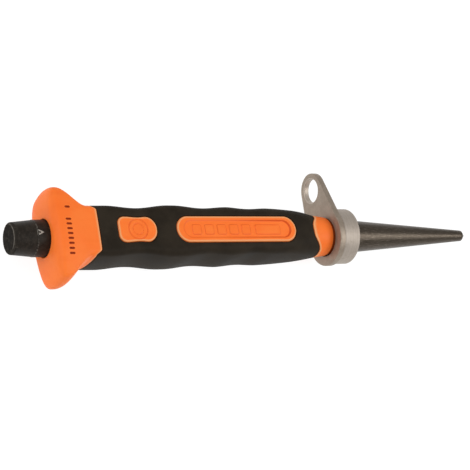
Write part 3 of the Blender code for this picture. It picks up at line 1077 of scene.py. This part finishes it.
def surface_patch(name, surface, points, faces):
    """A thin solid mark that lies on surface, straight below the (x, y) points."""
    depsgraph = bpy.context.evaluated_depsgraph_get()
    tree = BVHTree.FromObject(surface, depsgraph)
    top, bottom = [], []
    for x, y in points:
        hit, normal, _, _ = tree.ray_cast(Vector((x, y, ABOVE_ALL)), Vector((0, 0, -1)))
        if normal.z < 0:
            normal = -normal
        top.append(hit + normal * MARK_THICKNESS)
        bottom.append(hit - normal * MARK_THICKNESS)
    count = len(points)
    solid = [tuple(face) for face in faces]
    solid += [tuple(count + index for index in reversed(face)) for face in faces]
    edges = {}
    for face in faces:
        for first, second in zip(face, face[1:] + face[:1]):
            edges[(first, second)] = True
    for first, second in edges:
        if (second, first) not in edges:
            solid.append((second, first, count + first, count + second))
    return make_object(name, top + bottom, solid)


def grid_faces(columns, rows):
    faces = []
    for row in range(rows - 1):
        for column in range(columns - 1):
            here = row * columns + column
            faces.append((here, here + 1, here + columns + 1, here + columns))
    return faces


def make_tick(name, surface, centre, length, width):
    """A printed stroke with rounded ends, running along X."""
    columns, rows = 9, 4
    points = []
    for row in range(rows):
        across = row / (rows - 1) - 0.5
        round_end = math.sqrt(max(0.0, 1 - (2 * across) ** 2))
        pull = 1 - (width / length) * (1 - round_end) * TICK_ROUNDING
        for column in range(columns):
            along = column / (columns - 1) - 0.5
            points.append((centre[0] + along * length * pull, centre[1] + across * width))
    return surface_patch(name, surface, points, grid_faces(columns, rows))


def make_triangle(name, surface, centre, length, width):
    """A small open triangle: an outline, and the same outline smaller inside it."""
    steps = 8
    outer, inner = [], []
    for start, end in zip(TRIANGLE, TRIANGLE[1:] + TRIANGLE[:1]):
        for step in range(steps):
            x, y = (mix(a, b, step / steps) for a, b in zip(start, end))
            outer.append((centre[0] + x * length, centre[1] + y * width))
            x, y = mix(TRIANGLE_MIDDLE, x, TRIANGLE_INSIDE), y * TRIANGLE_INSIDE
            inner.append((centre[0] + x * length, centre[1] + y * width))
    count = len(outer)
    faces = []
    for index in range(count):
        after = (index + 1) % count
        faces.append((index, after, count + after, count + index))
    return surface_patch(name, surface, outer + inner, faces)


bar = settle(make_bar(), BLACK_STEEL, "tool", "punch_bar")
core = settle(make_core(), ORANGE, "tool", "grip_core")

skin = make_skin()
cutters = []
for side in (1, -1):
    cutters.append(window_cutter(LONG_BADGE, side))
    cutters.append(window_cutter(SHORT_BADGE, side, SHORT_WAIST))
cut(skin, cutters)
settle(skin, RUBBER, "tool", "grip_overmould")

for side, face in ((1, "front"), (-1, "back")):
    long_badge = make_badge("long_badge_" + face, LONG_BADGE, side, long_relief)
    short_badge = make_badge("short_badge_" + face, SHORT_BADGE, side, short_relief, SHORT_WAIST)
    for badge in (long_badge, short_badge):
        settle(badge, ORANGE, "tool", "grip_core")

settle(make_collar(), SATIN_STEEL, "tool", "retaining_collar")
settle(make_eye(), BLASTED_STEEL, "eye", "swivel_eye")

# The marks are shown as well as the pieces that they lie on, and stand for nothing in the CAD.
print_mark = make_tick("print_mark", core, *PRINT_MARK)
settle(print_mark, INK, "tool", "grip_core", False)
for mark in range(TICKS):
    centre = (TICK_X * MM, (FIRST_TICK_Y - TICK_PITCH * mark) * MM)
    tick = make_tick(f"print_tick_{mark + 1}", core, centre, *TICK_SIZE)
    settle(tick, INK, "tool", "grip_core", False)
etched_mark = make_triangle("etched_mark", bar, *ETCHED_MARK)
settle(etched_mark, ETCHED, "tool", "punch_bar", False)


# ---------------------------------------------------------------------------------------------
# Floor, light and camera

WHITE = (1.0, 1.0, 1.0, 1.0)
FLOOR_REACH = 40.0
FLOOR_GREY, FLOOR_GLOW = 0.18, 0.92
WORLD_STRENGTH = 0.42
# Lights, aimed at one place: name, place, size, power.
LIGHT_TARGET = (0.09, 0.0, 0.0)
LIGHTS = (
    ("key", (0.70, -0.24, 0.72), 0.45, 4.2),
    ("fill", (-0.60, 0.10, 0.62), 0.7, 3.7),
)
CAMERA_PLACE = (-0.19074, -0.14616, 0.42999)
CAMERA_TURN = (21.9220, -29.1634, -11.3726)
CAMERA_LENS, CAMERA_SENSOR, CAMERA_NEAR = 118.44, 36.0, 0.01


def make_floor():
    corners = ((-1, -1), (1, -1), (1, 1), (-1, 1))
    points = [(x * FLOOR_REACH, y * FLOOR_REACH, cad_bounds[0].z) for x, y in corners]
    floor = make_object("floor", points, [(0, 1, 2, 3)])
    g = Graph("pale_floor")
    g.finish((FLOOR_GREY, FLOOR_GREY, FLOOR_GREY, 1.0), 0.9, 0.0, None, 0.0)
    g.shader.inputs["Emission Color"].default_value = WHITE
    g.shader.inputs["Emission Strength"].default_value = FLOOR_GLOW
    floor.data.materials.append(g.material)


def make_light(name, place, size, power):
    data = bpy.data.lights.new(name, "AREA")
    data.shape = "SQUARE"
    data.size = size
    data.energy = power
    light = bpy.data.objects.new(name, data)
    light.location = place
    aim = Vector(LIGHT_TARGET) - Vector(place)
    light.rotation_euler = aim.to_track_quat("-Z", "Y").to_euler()
    bpy.context.scene.collection.objects.link(light)


def make_world():
    world = bpy.data.worlds.new("studio")
    world.use_nodes = True
    background = world.node_tree.nodes["Background"]
    background.inputs["Color"].default_value = WHITE
    background.inputs["Strength"].default_value = WORLD_STRENGTH
    bpy.context.scene.world = world


def make_camera():
    data = bpy.data.cameras.new("camera")
    data.lens = CAMERA_LENS
    data.sensor_width = CAMERA_SENSOR
    data.clip_start = CAMERA_NEAR
    data.dof.use_dof = False
    camera = bpy.data.objects.new("camera", data)
    turn = Euler([math.radians(angle) for angle in CAMERA_TURN])
    camera.matrix_world = Matrix.LocRotScale(Vector(CAMERA_PLACE), turn, None)
    bpy.context.scene.collection.objects.link(camera)
    bpy.context.scene.camera = camera


make_floor()
for light in LIGHTS:
    make_light(*light)
make_world()
bpy.context.scene.view_settings.view_transform = "Standard"
make_camera()
